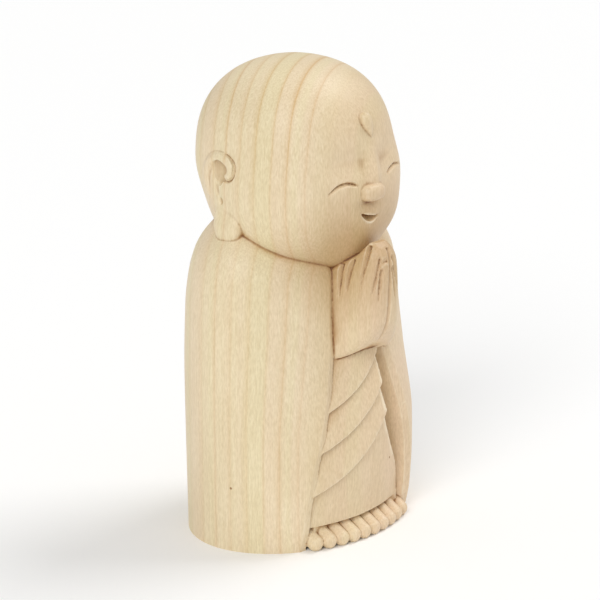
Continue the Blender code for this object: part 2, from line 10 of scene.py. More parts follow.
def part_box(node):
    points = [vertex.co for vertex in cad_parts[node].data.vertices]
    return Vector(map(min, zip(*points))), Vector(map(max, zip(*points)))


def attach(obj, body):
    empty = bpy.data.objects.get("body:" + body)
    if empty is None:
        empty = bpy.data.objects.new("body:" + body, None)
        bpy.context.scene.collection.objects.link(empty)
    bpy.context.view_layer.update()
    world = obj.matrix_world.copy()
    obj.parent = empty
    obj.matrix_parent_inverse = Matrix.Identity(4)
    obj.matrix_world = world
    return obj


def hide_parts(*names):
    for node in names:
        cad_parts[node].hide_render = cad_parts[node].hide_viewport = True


# A small praying Jizo figure of pale wood, at its full surface detail.
# Proportions are counts of units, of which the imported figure's height holds 200. A point is given
# as (across, forward, up): across is +X, forward is -Y and up is +Z, from the middle of the base.
UNITS_IN_HEIGHT = 200

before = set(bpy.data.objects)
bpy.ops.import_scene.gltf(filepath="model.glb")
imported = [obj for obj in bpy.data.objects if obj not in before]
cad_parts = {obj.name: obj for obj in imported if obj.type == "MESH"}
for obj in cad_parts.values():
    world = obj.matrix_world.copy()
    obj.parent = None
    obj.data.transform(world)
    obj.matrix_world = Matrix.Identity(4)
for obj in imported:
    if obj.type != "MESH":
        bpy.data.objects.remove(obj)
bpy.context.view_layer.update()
node_low, node_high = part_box("jizo_figure")
UNIT = (node_high.z - node_low.z) / UNITS_IN_HEIGHT

# Cloak: an upright ellipse whose size changes with height. Each pair is (height, size).
CLOAK_CENTRE_FORWARD = -2.5
CLOAK_HALF_WIDTH = (
    (0, 53.2), (70, 54.0), (99, 53.1), (112, 51.4), (121, 48.7),
    (126, 45.8), (130.5, 41.7), (134, 37.3), (137, 30.0), (139, 16.0),
)
CLOAK_FRONT_DEPTH = (
    (0, 41.0), (12, 44.2), (30, 45.4), (45, 44.8), (63, 41.6), (76, 38.4),
    (92, 34.6), (106, 32.8), (115, 31.0), (121, 27.0), (127, 20.5), (134, 13.0), (139, 8.0),
)
CLOAK_FRONT_POWER = ((0, 2.0), (45, 2.0), (76, 1.85), (139, 1.85))
CLOAK_BACK_SHARE = 40.5 / 52.6
BELOW_GROUND = 4.0
CLOAK_COUNTS = (260, 96)
ROW_CROWDING = 1.4
OPENING_HALF_WIDTH = (
    (0, 30.2), (13.5, 30.2), (31.5, 28.3), (48, 24.5), (64, 19.6),
    (76, 16.2), (88, 13.4), (104.5, 11.8), (117, 10.4), (139, 10.2),
)
LIP_WIDTH = 2.9
LIP_SLOPE = 0.6
MOST_OPENING_SHARE = 0.62
MOST_LIP_SHARE = 0.8
CHANNEL_FLOOR_FORWARD = 21.0
LEAST_CHANNEL_DEPTH = 2.0
# Round half the outline, from the channel's middle: where its floor, its wall and the lip end.
FLOOR_END, WALL_END, LIP_END = 0.06, 0.12, 0.16
# The channel's wall stands steep beside the robe and flares out on the far side.
NEAR_WALL_LEAN = 3.0
FAR_WALL_LEAN = ((0, 7.0), (45, 7.0), (76, 4.5), (139, 4.0))
FAR_WALL_FLARE = 1.8

# Robe: a bowed panel whose layers lap each other, each with its lower edge proud.
ROBE_FRONT = ((0, 36.0), (9, 36.2), (30, 38.0), (50, 37.6), (65, 36.6), (82, 34.5), (95, 33.0))
ROBE_FAR_BOW = 0.0085
ROBE_BELOW_LIP = 2.8
ROBE_FAR_SIDE = (
    (0, 28.0), (9, 27.3), (22, 23.6), (39, 15.6), (53, 10.8),
    (65, 8.4), (75, 7.2), (80, 6.5), (95, 4.0),
)
ROBE_NEAR_TUCK = 1.0
ROBE_BACK_FORWARD = 14.0
ROBE_COUNTS = (70, 10)
ROBE_MERGE_DISTANCE = 0.001
HEM_HEIGHT = 9.2
# Each fold's edge: its height at the near lip and at the far side, and how proud it stands.
FOLD_EDGES = ((23.8, 53.0, 2.3), (42.3, 66.0, 2.3), (58.3, 80.5, 2.3))
# How its middle bows, as shares of the way across and up, and the share of a layer that its ledge takes.
FOLD_BOW = (0.66, 0.36)
LEDGE_SHARE = 0.02
ROBE_TOP = (83.5, 95.0)

# Hands: palms together, with the sleeves, as a rounded prow out of the opening.
HANDS_CENTRE = ((84, 20), (104, 20), (112, 24), (118, 30), (121, 35), (124, 38.5), (129, 41))
HANDS_COUNTS = (120, 80)
HANDS_POWER = 2.5
HANDS_BACK_SHARE = 0.36
HANDS_FAR_SHARE = 1.28
HANDS_BOTTOM = 84.0
HANDS_PROFILE = (
    (84, 37.5), (86, 40.6), (88.7, 43.3), (92, 45.3), (96.3, 46.9), (102, 47.5),
    (110, 47.7), (120, 47.5), (124, 46.8), (127, 45.2), (129, 43.0),
)
HANDS_HALF_WIDTH = (
    (84, 16.2), (90, 15.0), (96, 13.9), (106, 12.8), (116, 10.9), (122, 8.2), (126, 6.0), (129, 4.0),
)
SLEEVE_DROP = 5.0
SLEEVE_DROP_POWER = 1.5
SLEEVE_DROP_TOP = 106.0

# Toes: rounded rods that fill the opening under the hem.
TOE_COUNT = 10
TOE_ROW_HALF = 30.0
TOE_RADIUS = 3.35
TOE_TIP_FORWARD = 41.4
TOE_ROW_BOW = 6.9
TOE_HEEL = (12.0, 7.5)
TOE_BALL = (3.4, 3.0)
TOE_COUNTS = (32, 20)
HEM_RECESS = 5.0
SOLE_SIDE_INSET = 1.3
SOLE_OVERLAP = 2.8
SOLE_BACK_OVERLAP = 1.0

# Head: a crown and a chubby lower face, each an ellipsoid, blended.
CROWN_CENTRE = Vector((0, -4.7, 163.9))
CROWN_RADII = (39.1, 39.1, 36.1)
CROWN_POWER = 2.2
FACE_CENTRE = Vector((0, 0.0, 148.0))
FACE_RADII = (41.6, 37.6, 39.5)
BLEND_POWER = 26
HEAD_COUNTS = (220, 150)
# Swellings and hollows on the face: the place (across, forward, up), the amount and the spread.
FACE_SWELLS = (
    ((27, 26, 134), 1.8, (12, 12, 12)),
    ((-27, 26, 134), 1.8, (12, 12, 12)),
    ((0, 36, 127), 2.6, (10, 10, 9)),
    ((0, 38, 140), 0.8, (8, 8, 7)),
    ((0, 32, 118), 5.2, (17, 12, 9)),
    ((14, 36, 161), -1.6, (9, 9, 6)),
    ((-12, 36, 161), -1.5, (9, 9, 5.5)),
    ((-2.0, 37, 160), -1.1, (5.0, 9, 6.5)),
    ((3.2, 38, 160), 1.6, (4, 9, 6)),
    ((2.2, 38, 154), 1.6, (3.8, 9, 5)),
    ((-1.0, 38, 144.3), -1.8, (5, 8, 2.2)),
    ((28, 28, 157), 1.4, (9, 9, 11)),
    ((-28, 28, 157), 1.4, (9, 9, 11)),
    ((35, -24, 154), 1.8, (11, 11, 13)),
    ((-35, -24, 154), 1.8, (11, 11, 13)),
)
NOSE_CENTRE = (0.9, 36.9, 149.0)
NOSE_RADII = (6.3, 4.6, 3.7)
NOSE_POWER = 2.7
NOSE_COUNTS = (64, 48)
# The drop on the forehead, as a strand from the top down: places (across, up), and radii along it.
URNA_LINE = ((1.4, 180.4), (2.4, 176.4), (4.6, 170.6))
URNA_RADII = (2.6, 3.8, 0.4)
URNA_PROUD = 0.2
URNA_COUNTS = (32, 40)
# Lines carved on the face: (across, up).
RIGHT_EYE_LINE = (
    (-5.0, 152.0), (-8.6, 153.8), (-12.0, 154.4), (-16.0, 153.6), (-20.0, 151.0), (-23.2, 147.4),
)
LEFT_EYE_LINE = (
    (12.0, 154.0), (15.0, 155.2), (18.5, 156.1), (22.0, 156.6), (26.4, 155.5), (30.0, 152.2),
)
MOUTH_LINE = ((-6.2, 141.6), (-2.6, 139.9), (0.6, 139.0), (3.2, 138.7), (6.8, 139.2))
# Gaps between the fingers: three seen from the side, as (forward, up), and two from the front,
# as (across, up).
FINGER_LINES = (
    ((30.9, 120.0), (31.9, 103.5)),
    ((35.8, 122.5), (34.8, 105.6)),
    ((41.5, 128.4), (41.9, 120.8), (40.0, 104.6)),
)
FRONT_FINGER_LINES = (
    ((3.3, 124.5), (5.8, 114.5), (8.4, 102.5)),
    ((3.1, 120.0), (4.4, 110.5), (5.2, 101.0)),
)
# From the front again: where the palms meet, and the step at the fingertips.
PALM_LINE = ((1.2, 127.0), (0.6, 115.0), (0.2, 105.0), (0, 96.0), (0, 90.0), (0, 85.0))
TIP_LINE = ((-3.2, 120.6), (-1.6, 121.4), (0.2, 121.3))
# Gouge cuts: the widths above and below the line, the depth, the shares of its length that taper,
# and how hollow the cut's sides are. Beside an upright line the first width is towards +X.
EYE_CUT = (0.5, 1.5, 2.1, (0.22, 0.5), 1.0)
MOUTH_CUT = (0.3, 2.6, 4.0, (0.5, 0.5), 0.6)
FINGER_CUT = (1.5, 1.5, 2.0, (0, 0.8), 1.4)
FRONT_FINGER_CUT = (1.3, 1.3, 1.9, (0.1, 0.8), 1.4)
PALM_CUT = (2.0, 0.4, 2.2, (0, 0.35), 1.0)
TIP_CUT = (2.6, 0.2, 0.9, (0.1, 0.1), 1.0)
EAR_CREASE_CUT = (0.7, 0.7, 1.8, (0.5, 0.1), 1.0)
CUT_COUNT = 48
CUT_FLANK_COUNT = 6
CUTTER_LIFT = 0.5
END_CLEARANCE = 0.12
LEAST_WIDTH = 0.02
SIGHT_DISTANCE = 90
# Rolls: the share of a path over which its direction is taken.
RUN_STEP = 0.01
# Points of a closed grid that lie closer than this are one.
MERGE_DISTANCE = 0.0001

# Ears, from the side: (forward, up) along the rim, the crease in front of it and the channel.
EAR_RIM = (
    (-5.0, 156.0), (-2.8, 156.2), (-1.8, 158.2), (-2.6, 160.6), (-5.0, 162.2), (-8.4, 162.7),
    (-12.0, 161.9), (-15.2, 159.4), (-17.0, 155.6), (-17.2, 151.2), (-16.0, 146.6), (-14.0, 142.5),
)
EAR_RIM_RADII = (1.9, 2.6, 4.6)
EAR_RIM_PROUD = 1.5
EAR_RIM_COUNTS = (28, 120)
EAR_CREASE = (
    (-10.6, 164.4), (-8.0, 165.0), (-4.6, 164.5), (-1.8, 162.8), (-0.1, 160.7),
    (0.3, 158.2), (-0.3, 155.8), (-2.0, 154.2), (-4.2, 153.7), (-5.8, 154.6),
)
# The bowl and the pit: the place (forward, up), the radii and the counts of each.
EAR_BOWLS = (
    ((-8.6, 156.6), (1.7, 4.6, 5.4), (48, 32)),
    ((-7.6, 144.9), (1.8, 1.4, 1.8), (24, 16)),
)
EAR_CHANNEL = ((-9.6, 155.0), (-10.0, 150.6), (-9.0, 147.6), (-7.6, 144.6))
EAR_CHANNEL_RADII = (2.4, 2.0, 1.5)
EAR_CHANNEL_PROUD = 1.0
EAR_CHANNEL_COUNTS = (28, 48)
# Rows of (up, back, front, out) for the lobe.
EAR_LOBE = (
    (127.8, -6.0, -2.6, 41.4), (129.0, -8.8, 0.2, 42.4), (131.5, -10.8, 1.9, 43.0),
    (134.5, -11.8, 2.6, 42.9), (137.5, -12.2, 2.4, 42.1), (140.5, -12.6, 1.5, 41.0),
    (145, -13.0, -2.0, 39.5),
)
LOBE_THICKNESS = 9.0
LOBE_POWER = 2.8
LOBE_COUNTS = (64, 48)

# Surface: the blended skin's grid, the most triangles it keeps, and the passes that ease its edges.
SKIN_GRID = 0.36
MOST_TRIANGLES = 190000
EDGE_PASSES = 1
EASING = 0.5
SHARP_ANGLE = math.radians(50)
# Creases and edges are found against a copy softened a few times, and broad hollows after many.
SOFTENING_PASSES = (("bend", 16), ("hollow", 150))
# The lobes run into the cheeks here: lowest and highest (out, forward, up), and passes of smoothing.
LOBE_BLEND = ((37, -13, 137), (46, 5, 147))
LOBE_BLEND_PASSES = 14

# Wood: growth layers, seen as bands and thin lines, with their sizes in metres. Most of its tones
# darken it by multiplying.
LAYER_NORMAL = Vector((0.39, -0.92, 0))
LAYER_THICKNESS = 0.0070
# Where the lines fall, in layers, and how far they wander.
LAYER_START = -0.45
LAYER_SWAY = 0.3
LAYER_UNEVENNESS = 0.4
LAYER_LINE = ((0.0, 1.0), (0.06, 0.35), (0.16, 0.0), (0.7, 0.05), (0.95, 0.6), (1.0, 1.0))
# The lines fade out towards the front, between these layers, to this share.
LAYER_FADE = (1.9, 3.3)
LEAST_LINE = 0.05
# They are strongest on the crown, above the second height, and weaker below the first.
CROWN_RISE = (0.145, 0.185)
BODY_LINE = 0.5
# Some lines are stronger than others.
LINE_WEIGHTS = ((0.35, 0.45), (0.65, 1.0))
LINE_TONE = (0.84, 0.69, 0.49, 1)
# The bands between them turn from yellow to pink.
BAND_STOPS = ((0.38, 0.0), (0.62, 1.0))
YELLOW_WOOD = (0.84, 0.74, 0.505, 1)
PINK_WOOD = (0.855, 0.72, 0.52, 1)
# Noise from layer to layer: the scale and the detail.
UNEVEN_NOISE = (0.7, 0)
WEIGHT_NOISE = (1.3, 0)
BAND_NOISE = (0.8, 1)
# The wood is darker towards the front, and painted shade darkens it round the chin, from this place
# out to this far along each axis.
FRONT_TONE = (0.96, 0.895, 0.885, 1)
CHIN_PLACE = Vector((0, -0.030, 0.124))
CHIN_SHADE_REACH = Vector((0.042, 0.034, 0.034))
CHIN_SHADE_STOPS = ((0.35, 1.0), (1.0, 0.0))
PAINTED_CHIN_SHADE = (0.76, 0.66, 0.52, 1)
# Noise drawn out along the trunk: the stretch on each axis, the scale and the detail.
SWAY_GRAIN = ((1, 1, 0.3), 14, 2)
PATCH_GRAIN = ((1, 1, 0.5), 38, 2)
FIBRE_GRAIN = ((1, 1, 0.02), 1500, 3)
FLECK_GRAIN = ((1, 1, 0.25), 1700, 2)
PATCH_STOPS = ((0.35, 0.0), (0.65, 1.0))
PATCH_TONE = (0.965, 0.95, 0.92, 1)
FIBRE_STOPS = ((0.3, 1.0), (0.7, 0.0))
FIBRE_TONE = (0.92, 0.89, 0.84, 1)
FLECK_STOPS = ((0.35, 1.0), (0.65, 0.0))
FLECK_TONE = (0.90, 0.88, 0.83, 1)
# Hollows and creases darken with painted shade, and edges lighten with a painted highlight. Each reaches
# 1 on its stops at this many units below or above the softened surface.
HOLLOW_DEPTH = 2.0
HOLLOW_STOPS = ((0.04, 0.0), (0.28, 0.22), (0.6, 0.8), (1.0, 1.0))
PAINTED_HOLLOW_SHADE = (0.62, 0.43, 0.23, 1)
CREASE_DEPTH = 0.30
CREASE_STOPS = ((0.22, 0.0), (0.65, 0.40), (1.0, 1.0))
PAINTED_CREASE_SHADE = (0.44, 0.29, 0.17, 1)
EDGE_HEIGHT = 0.40
EDGE_STOPS = ((0.38, 0.0), (1.0, 0.50))
PAINTED_EDGE_HIGHLIGHT = (0.95, 0.86, 0.66, 1)
# Dark specks, in the middle of sparse cells.
SPECK_SPREAD = 45
SPECK_STOPS = ((0.018, 1.0), (0.03, 0.0))
SPECK_TONE = (0.45, 0.30, 0.18, 1)
FIBRE_RELIEF = 0.7
BUMP_STRENGTH = 0.12
BUMP_DEPTH = 0.0003
ROUGHNESS = 0.46
ROUGHNESS_SPREAD = 0.2

# Studio: light from all round, and two lamps from above, on the near side and on the far side.
WORLD_STRENGTH = 0.54
KEY_SOURCE = (-0.75, -0.33, 0.60)
KEY_ENERGY = 1.2
TOP_SOURCE = (0.575, -0.20, 0.794)
TOP_ENERGY = 1.15
LAMP_ANGLE = math.radians(30)
FLOOR_HALF_SIZE = 4.0
FLOOR_TONE = (0.96, 0.96, 0.955, 1)
FLOOR_ROUGHNESS = 0.8

# Camera: where it looks from, how far, and what it looks at.
VIEW_AZIMUTH = math.radians(-47)
VIEW_ELEVATION = math.radians(16.5)
VIEW_DISTANCE = 918
VIEW_TARGET = (-1.95, 0.4, 96.5)
LENS = 130.8
SENSOR = 36.0


def place(across, forward, up):
    """A point in metres, from its place in units."""
    return Vector((across, -forward, up)) * UNIT


def in_units(point):
    """A point's place (across, forward, up) in units, from metres."""
    return point.x / UNIT, -point.y / UNIT, point.z / UNIT


def along(stops, value):
    """Reads a smooth curve through the (value, result) stops, level where they turn."""
    if value <= stops[0][0]:
        return stops[0][1]
    if value >= stops[-1][0]:
        return stops[-1][1]
    last = len(stops) - 1
    slopes = [(high - low) / (end - start) for (start, low), (end, high) in zip(stops, stops[1:])]
    tangents = [slopes[0]]
    for before, after in zip(slopes, slopes[1:]):
        tangents.append(2 * before * after / (before + after) if before * after > 0 else 0.0)
    tangents.append(slopes[-1])
    i = next(i for i in range(last) if value <= stops[i + 1][0])
    width = stops[i + 1][0] - stops[i][0]
    t = (value - stops[i][0]) / width
    return (
        stops[i][1] * (1 + 2 * t) * (1 - t) ** 2
        + stops[i + 1][1] * t * t * (3 - 2 * t)
        + tangents[i] * width * t * (1 - t) ** 2
        - tangents[i + 1] * width * t * t * (1 - t)
    )


def eased(t):
    """A share that starts and ends slowly, which sets mesh rows closer at both ends."""
    return 0.5 - 0.5 * math.cos(math.pi * t)


def superellipse(angle, half_width, depth, power):
    """A point of an oval outline, fuller than an ellipse where power is over 2."""
    cosine, sine = math.cos(angle), math.sin(angle)
    across = math.copysign(abs(cosine) ** (2 / power), cosine) * half_width
    return across, math.copysign(abs(sine) ** (2 / power), sine) * depth


def form(name, mesh):
    """An object for a bmesh, with its faces pointing out."""
    bmesh.ops.recalc_face_normals(mesh, faces=mesh.faces)
    if mesh.calc_volume(signed=True) < 0:
        bmesh.ops.reverse_faces(mesh, faces=mesh.faces)
    data = bpy.data.meshes.new(name)
    mesh.to_mesh(data)
    mesh.free()
    thing = bpy.data.objects.new(name, data)
    bpy.context.scene.collection.objects.link(thing)
    return thing


def lattice(columns, rows, put, around=True):
    """A grid bent into shape: put(s, t) gives each point, and an around grid is closed and capped."""
    mesh = bmesh.new()
    bmesh.ops.create_grid(mesh, x_segments=columns, y_segments=rows, size=0.5)
    for vert in mesh.verts:
        vert.co = put(vert.co.x + 0.5, vert.co.y + 0.5)
    if around:
        bmesh.ops.remove_doubles(mesh, verts=mesh.verts, dist=MERGE_DISTANCE * UNIT)
        bmesh.ops.holes_fill(mesh, edges=mesh.edges, sides=0)
    return mesh


def cloak_front(across, up):
    """How far forward the cloak's face lies there."""
    half_width = along(CLOAK_HALF_WIDTH, up)
    power = along(CLOAK_FRONT_POWER, up)
    share = min(1.0, abs(across) / half_width)
    return CLOAK_CENTRE_FORWARD + along(CLOAK_FRONT_DEPTH, up) * (1 - share**power) ** (1 / power)


def cloak_outline(s, up):
    """The cloak's level section, from the channel's middle round by the far side and the back."""
    half_width = along(CLOAK_HALF_WIDTH, up)
    power = along(CLOAK_FRONT_POWER, up)
    opening = min(along(OPENING_HALF_WIDTH, up), MOST_OPENING_SHARE * half_width)
    corner = min(opening + LIP_WIDTH, MOST_LIP_SHARE * half_width)
    side = 1 if s < 0.5 else -1
    t = 2 * s if s < 0.5 else 2 * (1 - s)
    floor_forward = min(CHANNEL_FLOOR_FORWARD, cloak_front(opening, up) - LEAST_CHANNEL_DEPTH)
    lean = along(FAR_WALL_LEAN, up) if side > 0 else NEAR_WALL_LEAN
    flare = FAR_WALL_FLARE if side > 0 else 1 / FAR_WALL_FLARE
    lip = (opening, cloak_front(opening, up) - LIP_SLOPE)
    floor = (opening - lean, floor_forward)
    if t <= FLOOR_END:
        across, forward = floor[0] * t / FLOOR_END, floor[1]
    elif t <= WALL_END:
        share = (t - FLOOR_END) / (WALL_END - FLOOR_END)
        across = floor[0] + (lip[0] - floor[0]) * share**flare
        forward = floor[1] + (lip[1] - floor[1]) * share
    else:
        start = math.acos((corner / half_width) ** (power / 2))
        share = (t - LIP_END) / (1 - LIP_END)
        angle = start - max(share, 0.0) * (start + math.pi / 2)
        if angle >= 0:
            across, forward = superellipse(angle, half_width, along(CLOAK_FRONT_DEPTH, up), power)
        else:
            across, forward = superellipse(angle, half_width, CLOAK_BACK_SHARE * half_width, 2)
        forward += CLOAK_CENTRE_FORWARD
    return side * across, forward


def cloak(columns, rows):
    """The cloak, from the underside up to where the head hides it."""
    top = CLOAK_HALF_WIDTH[-1][0]

    def put(s, t):
        up = (top + BELOW_GROUND) * (1 - (1 - t) ** ROW_CROWDING) - BELOW_GROUND
        across, forward = cloak_outline(s, up)
        return place(across, forward, up)

    return lattice(columns, rows, put)


def robe_front(across, up):
    """How far forward the robe lies there: it bows back, and on the near side it meets the lip."""
    middle = along(ROBE_FRONT, up)
    if across > 0:
        return middle - ROBE_FAR_BOW * across * across
    opening = along(OPENING_HALF_WIDTH, up)
    near = cloak_front(opening, up) - LIP_SLOPE - ROBE_BELOW_LIP
    return middle - (middle - near) * (across / opening) ** 2


def fold_edge(near_up, far_up, s):
    """A point of a fold's edge, at share s of the way from the near lip to the far side."""
    near = -(along(OPENING_HALF_WIDTH, near_up) + ROBE_NEAR_TUCK)
    far = along(ROBE_FAR_SIDE, far_up)
    bow_across, bow_up = FOLD_BOW
    start, middle, end = (1 - s) ** 2, 2 * s * (1 - s), s * s
    across = start * near + middle * (near + bow_across * (far - near)) + end * far
    up = start * near_up + middle * (near_up + bow_up * (far_up - near_up)) + end * far_up
    return across, up


def robe(columns, rows_in_layer):
    """The robe's lapped layers, as rows of points that follow each fold's edge, closed behind."""
    edges = [(HEM_HEIGHT, HEM_HEIGHT, 0.0)] + list(FOLD_EDGES) + [ROBE_TOP + (0.0,)]
    rows = []
    for (near_low, far_low, proud), (near_high, far_high, _) in zip(edges, edges[1:]):
        for row in range(rows_in_layer + 1):
            share = max(row / rows_in_layer, LEDGE_SHARE)
            rows.append((near_low + share * (near_high - near_low),
                         far_low + share * (far_high - far_low),
                         proud * (1 - share)))
    last = len(rows) - 1

    def put(s, t):
        near_up, far_up, proud = rows[round(t * last)]
        across, up = fold_edge(near_up, far_up, s)
        return place(across, robe_front(across, up) + proud, up)

    mesh = lattice(columns, last, put, around=False)
    front = list(mesh.faces)
    behind = bmesh.ops.extrude_face_region(mesh, geom=front, use_keep_orig=True)["geom"]
    for vert in [item for item in behind if isinstance(item, bmesh.types.BMVert)]:
        vert.co.y = -ROBE_BACK_FORWARD * UNIT
    bmesh.ops.remove_doubles(mesh, verts=mesh.verts, dist=ROBE_MERGE_DISTANCE * UNIT)
    return mesh


def hands(columns, rows):
    """Both hands and sleeves as one prow. Its underside drops towards the sleeves."""
    top = HANDS_PROFILE[-1][0]

    def put(s, t):
        up = HANDS_BOTTOM + (top - HANDS_BOTTOM) * eased(t)
        half_width = along(HANDS_HALF_WIDTH, up)
        centre = along(HANDS_CENTRE, up)
        depth = along(HANDS_PROFILE, up) - centre
        across, forward = superellipse(2 * math.pi * s, half_width, depth, HANDS_POWER)
        if across > 0:
            across *= HANDS_FAR_SHARE
        if forward < 0:
            forward *= HANDS_BACK_SHARE
        share = max(0.0, (SLEEVE_DROP_TOP - up) / (SLEEVE_DROP_TOP - HANDS_BOTTOM))
        drop = SLEEVE_DROP * share * (abs(across) / half_width) ** SLEEVE_DROP_POWER
        return place(across, centre + forward, up - drop)

    return lattice(columns, rows, put)


def toe(number, sides, rings):
    """One toe: a rounded rod, leaning out from under the hem to the ground."""
    across = TOE_ROW_HALF * (2 * (number + 0.5) / TOE_COUNT - 1)
    tip = TOE_TIP_FORWARD - TOE_ROW_BOW * (across / TOE_ROW_HALF) ** 2
    heel = place(across, tip - TOE_HEEL[0], TOE_HEEL[1])
    ball = place(across, tip - TOE_BALL[0], TOE_BALL[1])
    mesh = bmesh.new()
    bmesh.ops.create_uvsphere(mesh, u_segments=sides, v_segments=rings, radius=TOE_RADIUS * UNIT)
    turn = (ball - heel).to_track_quat("Z", "X").to_matrix()
    for vert in mesh.verts:
        end = ball if vert.co.z > 0 else heel
        vert.co = turn @ vert.co + end
    return mesh


def sole():
    """The solid wood behind the toes and under the robe."""
    half_width = along(ROBE_FAR_SIDE, HEM_HEIGHT) - SOLE_SIDE_INSET
    back = ROBE_BACK_FORWARD - SOLE_BACK_OVERLAP
    front = along(ROBE_FRONT, HEM_HEIGHT) - HEM_RECESS
    low, high = -BELOW_GROUND, HEM_HEIGHT + SOLE_OVERLAP
    middle = (0, (back + front) / 2, (low + high) / 2)
    return block(middle, (half_width, (front - back) / 2, (high - low) / 2))


def reach(centre, radii, start, direction):
    """How far along a direction an ellipsoid's far wall lies, from a point inside it."""
    offset = Vector([(start[i] - centre[i]) / radii[i] for i in range(3)])
    scaled = Vector([direction[i] / radii[i] for i in range(3)])
    a, b, c = scaled.dot(scaled), offset.dot(scaled), offset.dot(offset) - 1
    return (-b + math.sqrt(b * b - a * c)) / a


def head_radius(direction):
    """The head's radius along a unit direction (across, forward, up) from the crown's centre."""
    shares = [abs(direction[i] / CROWN_RADII[i]) for i in range(3)]
    crown = sum(share**CROWN_POWER for share in shares) ** (-1 / CROWN_POWER)
    face = reach(FACE_CENTRE, FACE_RADII, CROWN_CENTRE, direction)
    radius = (crown**BLEND_POWER + face**BLEND_POWER) ** (1 / BLEND_POWER)
    point = CROWN_CENTRE + direction * radius
    for centre, amount, spread in FACE_SWELLS:
        gap = sum(((point[i] - centre[i]) / spread[i]) ** 2 for i in range(3))
        radius += amount * math.exp(-gap)
    return radius


def head(columns, rows):
    """The head, as radii from the crown's centre."""

    def put(s, t):
        azimuth = 2 * math.pi * s
        slope = math.pi * (t - 0.5)
        level = math.cos(slope)
        direction = Vector((math.sin(azimuth) * level, math.cos(azimuth) * level, math.sin(slope)))
        return place(*(CROWN_CENTRE + direction * head_radius(direction)))

    return lattice(columns, rows, put)


def bead(centre, radii, counts, power=2):
    """A rounded lump with its own radii across, forward and up, blockier where power is over 2."""
    mesh = bmesh.new()
    bmesh.ops.create_uvsphere(mesh, u_segments=counts[0], v_segments=counts[1], radius=1.0)
    for vert in mesh.verts:
        vert.co *= sum(abs(value) ** power for value in vert.co) ** (-1 / power)
        vert.co = place(centre[0] + vert.co.x * radii[0],
                        centre[1] - vert.co.y * radii[1],
                        centre[2] + vert.co.z * radii[2])
    return mesh


def block(centre, half_sides):
    """A plain block at a place."""
    mesh = bmesh.new()
    bmesh.ops.create_cube(mesh, size=2.0)
    for vert in mesh.verts:
        vert.co = place(*[centre[i] + vert.co[i] * half_sides[i] for i in range(3)])
    return mesh


def blended_size(sizes, share):
    """A size at a share of the way, from those at the start, in the middle and at the end."""
    start, middle, end = sizes
    return start * (1 - share) ** 2 + 2 * middle * share * (1 - share) + end * share * share


def curve_through(points, t):
    """A point at share t of a smooth curve through the points."""
    last = len(points) - 1
    i = min(int(t * last), last - 1)
    u = t * last - i
    p1, p2 = points[i], points[i + 1]
    p0 = points[i - 1] if i else p1 * 2 - p2
    p3 = points[i + 2] if i + 2 <= last else p2 * 2 - p1
    return 0.5 * (2 * p1 + u * (p2 - p0) + u * u * (2 * p0 - 5 * p1 + 4 * p2 - p3)
                  + u**3 * (3 * p1 - p0 - 3 * p2 + p3))


def roll(points, radii, sides, rings):
    """A rounded strand along a path, with a radius at its start, in its middle and at its end."""
    out = Vector((1, 0, 0))

    def put(s, t):
        share = eased(t)
        centre = curve_through(points, share)
        ahead = curve_through(points, min(1.0, share + RUN_STEP))
        behind = curve_through(points, max(0.0, share - RUN_STEP))
        run = (ahead - behind).normalized()
        aside = run.cross(out).normalized()
        size = blended_size(radii, share) * (math.sin(math.pi * t) ** 0.5 if 0 < t < 1 else 0.0)
        angle = 2 * math.pi * s
        return centre + (aside * math.cos(angle) + aside.cross(run) * math.sin(angle)) * size * UNIT

    return lattice(sides, rings, put)


def seat(surface, spot, view):
    """Where a line of sight meets the carving, with the outward normal there.

    From the front a spot is (across, up). From a side it is (forward, up).
    """
    if view == "front":
        start, aim = place(spot[0], SIGHT_DISTANCE, spot[1]), Vector((0, 1, 0))
    else:
        start, aim = place(view * SIGHT_DISTANCE, spot[0], spot[1]), Vector((-view, 0, 0))
    point, normal, _, _ = surface.ray_cast(start, aim)
    return point, (normal if normal.dot(aim) < 0 else -normal)


def gouge(surface, spots, view, cut, steps):
    """A cut that follows spots on a surface, with its own slope on either side of its line."""
    above, below, depth, tapers, hollow = cut
    path = [Vector((spot[0], spot[1], 0)) for spot in spots]
    seats = []
    for step in range(steps + 1):
        spot = curve_through(path, step / steps)
        seats.append(seat(surface, spot, view))
    corners = 2 * CUT_FLANK_COUNT + 1
    # The first width is on the side that looks up, or for an upright line towards +X.
    first_side = seats[0][1].cross(seats[steps // 2][0] - seats[0][0])
    turn_over = -1 if first_side.z + first_side.x / 2 < 0 else 1

    def put(s, t):
        i = round(t * steps)
        point, normal = seats[i]
        run = seats[min(i + 1, steps)][0] - seats[max(i - 1, 0)][0]
        side = normal.cross(run).normalized() * turn_over
        share = 1.0
        if tapers[0]:
            share *= math.sin(min(1.0, t / tapers[0]) * math.pi / 2)
        if tapers[1]:
            share *= math.sin(min(1.0, (1 - t) / tapers[1]) * math.pi / 2)
        corner = round(corners * s) % corners
        rise = min(corner, corners - corner) / CUT_FLANK_COUNT
        width = above if corner <= CUT_FLANK_COUNT else -below
        bottom = END_CLEARANCE * (1 - share) - depth * share
        height = bottom + (CUTTER_LIFT - bottom) * rise
        spread = share * ((1 + CUTTER_LIFT / depth) * rise) ** hollow + LEAST_WIDTH * rise
        return point + (normal * height + side * width * spread) * UNIT

    return lattice(corners, steps, put)


def join(figure, things, operation):
    """Adds Booleans, one for each helper."""
    for thing in things:
        joint = figure.modifiers.new(thing.name, "BOOLEAN")
        joint.operation = operation
        joint.solver = "MANIFOLD"
        joint.object = thing


def updated_view():
    """What the scene evaluates to now."""
    bpy.context.view_layer.update()
    return bpy.context.evaluated_depsgraph_get()


def surface_of(thing):
    """The thing's surface, ready for lines of sight."""
    return BVHTree.FromObject(thing, updated_view())


